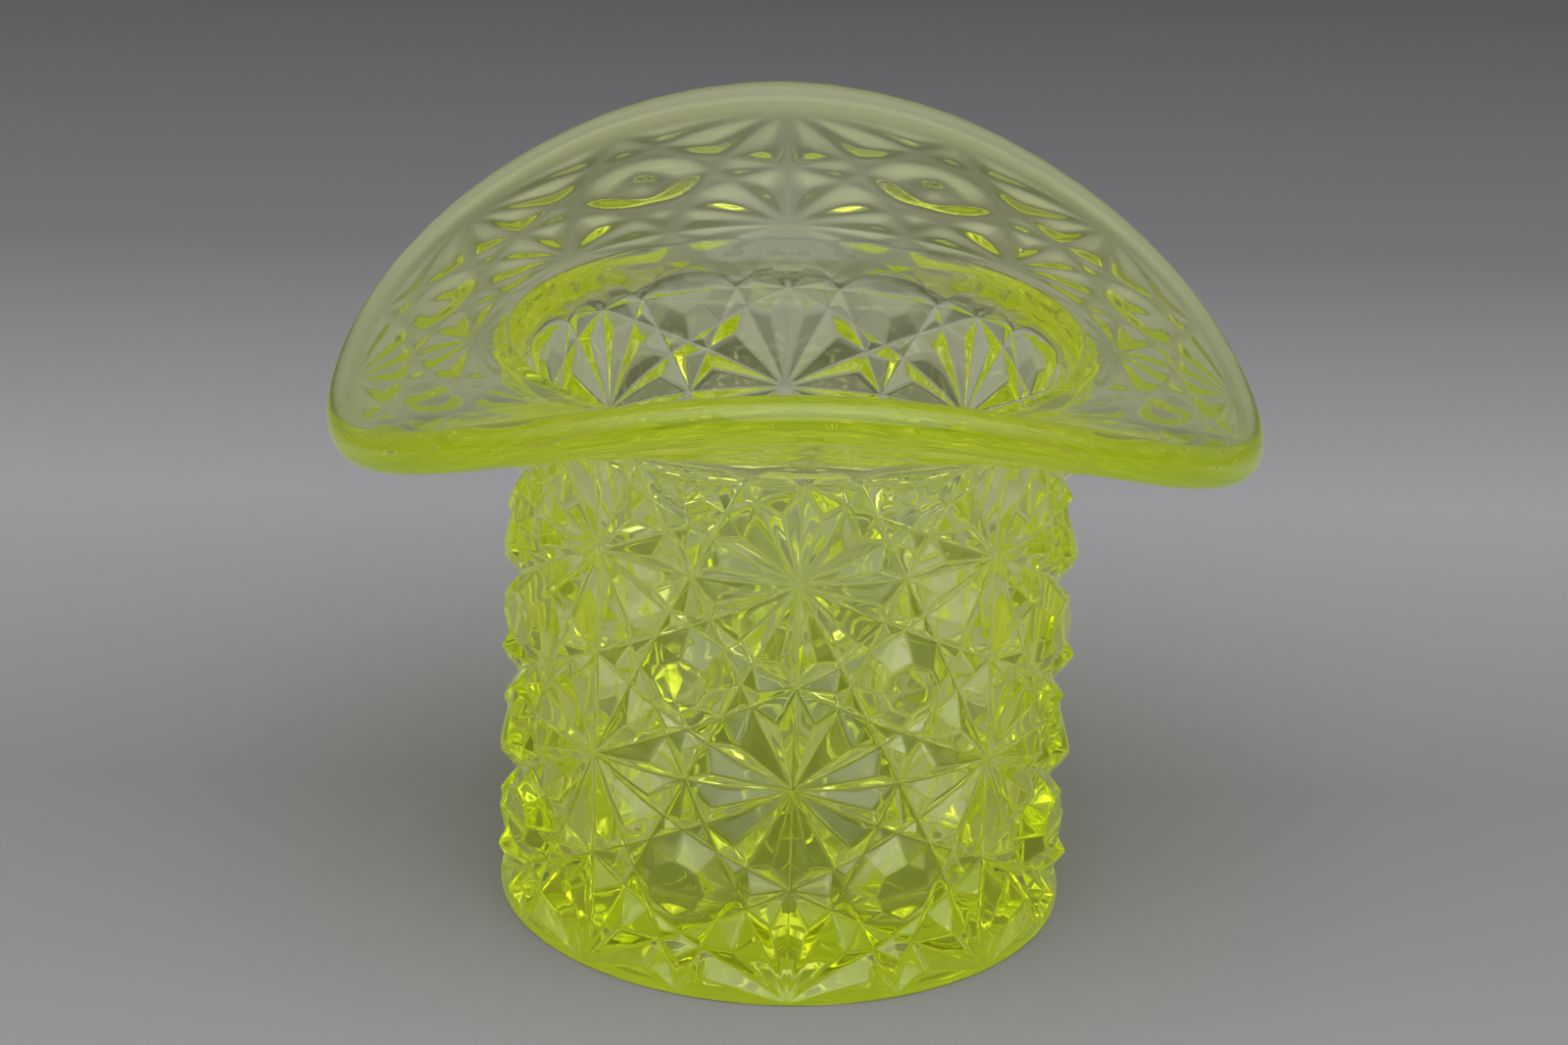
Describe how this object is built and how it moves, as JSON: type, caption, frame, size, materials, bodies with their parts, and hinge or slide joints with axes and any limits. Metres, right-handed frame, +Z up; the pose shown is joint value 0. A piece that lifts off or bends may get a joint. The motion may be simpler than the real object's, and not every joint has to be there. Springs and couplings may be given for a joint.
{
  "type": "glass hat",
  "caption": "Small pressed-glass top hat standing on its crown, with a faceted flower-and-button pattern, an open well and a saddle-curved brim with a rounded edge.",
  "frame": {"origin": "middle of the plane that the hat stands on, on the crown's axis", "axes": "+Z up out of the mouth, -Y the front where the brim turns up, +X to the right along the drooping sides"},
  "size_m": [0.0836, 0.0906, 0.0641],
  "materials": {
    "yellow_green_glass": "clear fire-polished pressed glass"
  },
  "bodies": {
    "root": {"base": "yellow_green_glass", "crown": "yellow_green_glass", "brim": "yellow_green_glass", "rim": "yellow_green_glass"}
  },
  "joints": []
}
